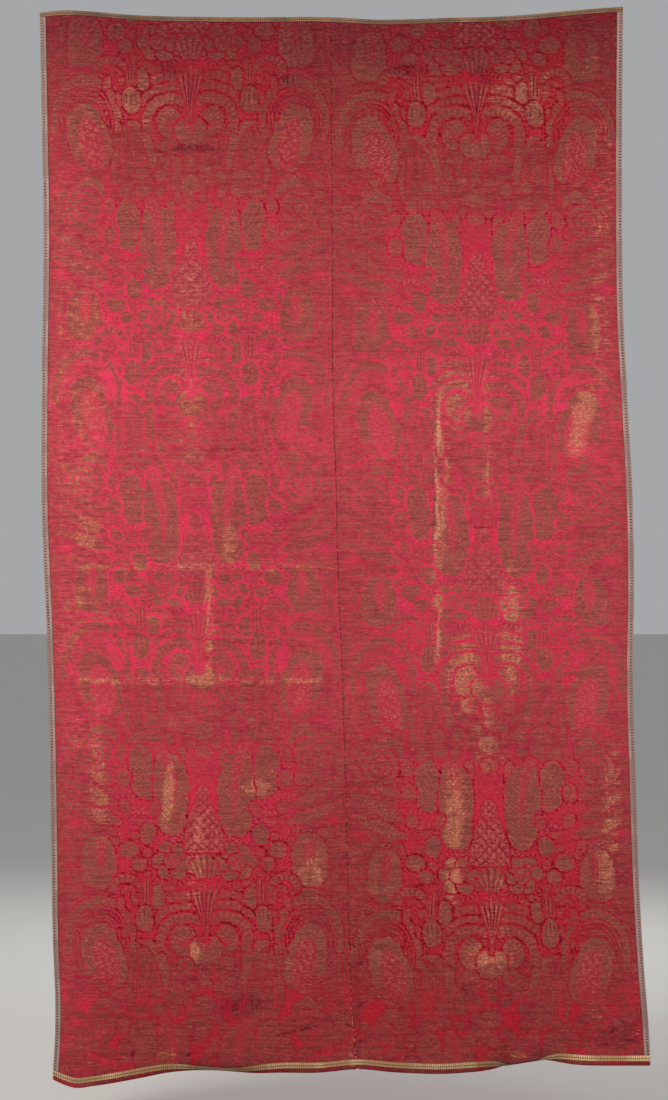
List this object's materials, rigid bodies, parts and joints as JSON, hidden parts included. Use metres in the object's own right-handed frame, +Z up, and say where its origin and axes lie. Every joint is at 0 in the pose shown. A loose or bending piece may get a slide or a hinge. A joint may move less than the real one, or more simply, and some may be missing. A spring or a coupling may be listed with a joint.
{
  "type": "brocade hanging panel",
  "caption": "Tall hanging of crimson figured silk, two loom widths seamed down the middle, edged all round with narrow metal braid, its hem waving.",
  "frame": {"origin": "middle of the panel's top edge, where it is held", "axes": "+Z up the panel, +X across it to the viewer's right, -Y out of its patterned front"},
  "size_m": [1.1287, 0.0594, 1.9965],
  "materials": {
    "silk": "figured silk: crimson ground, tan and pink motifs, satin outlines",
    "side_braid": "narrow woven braid of pale metal thread with a row of dark dashes",
    "end_braid": "narrow ribbed braid of gold metal thread"
  },
  "bodies": {
    "root": {"brocade_left": "silk", "brocade_right": "silk", "braid_left": "side_braid", "braid_right": "side_braid", "braid_top": "end_braid", "braid_bottom": "end_braid"}
  },
  "joints": []
}
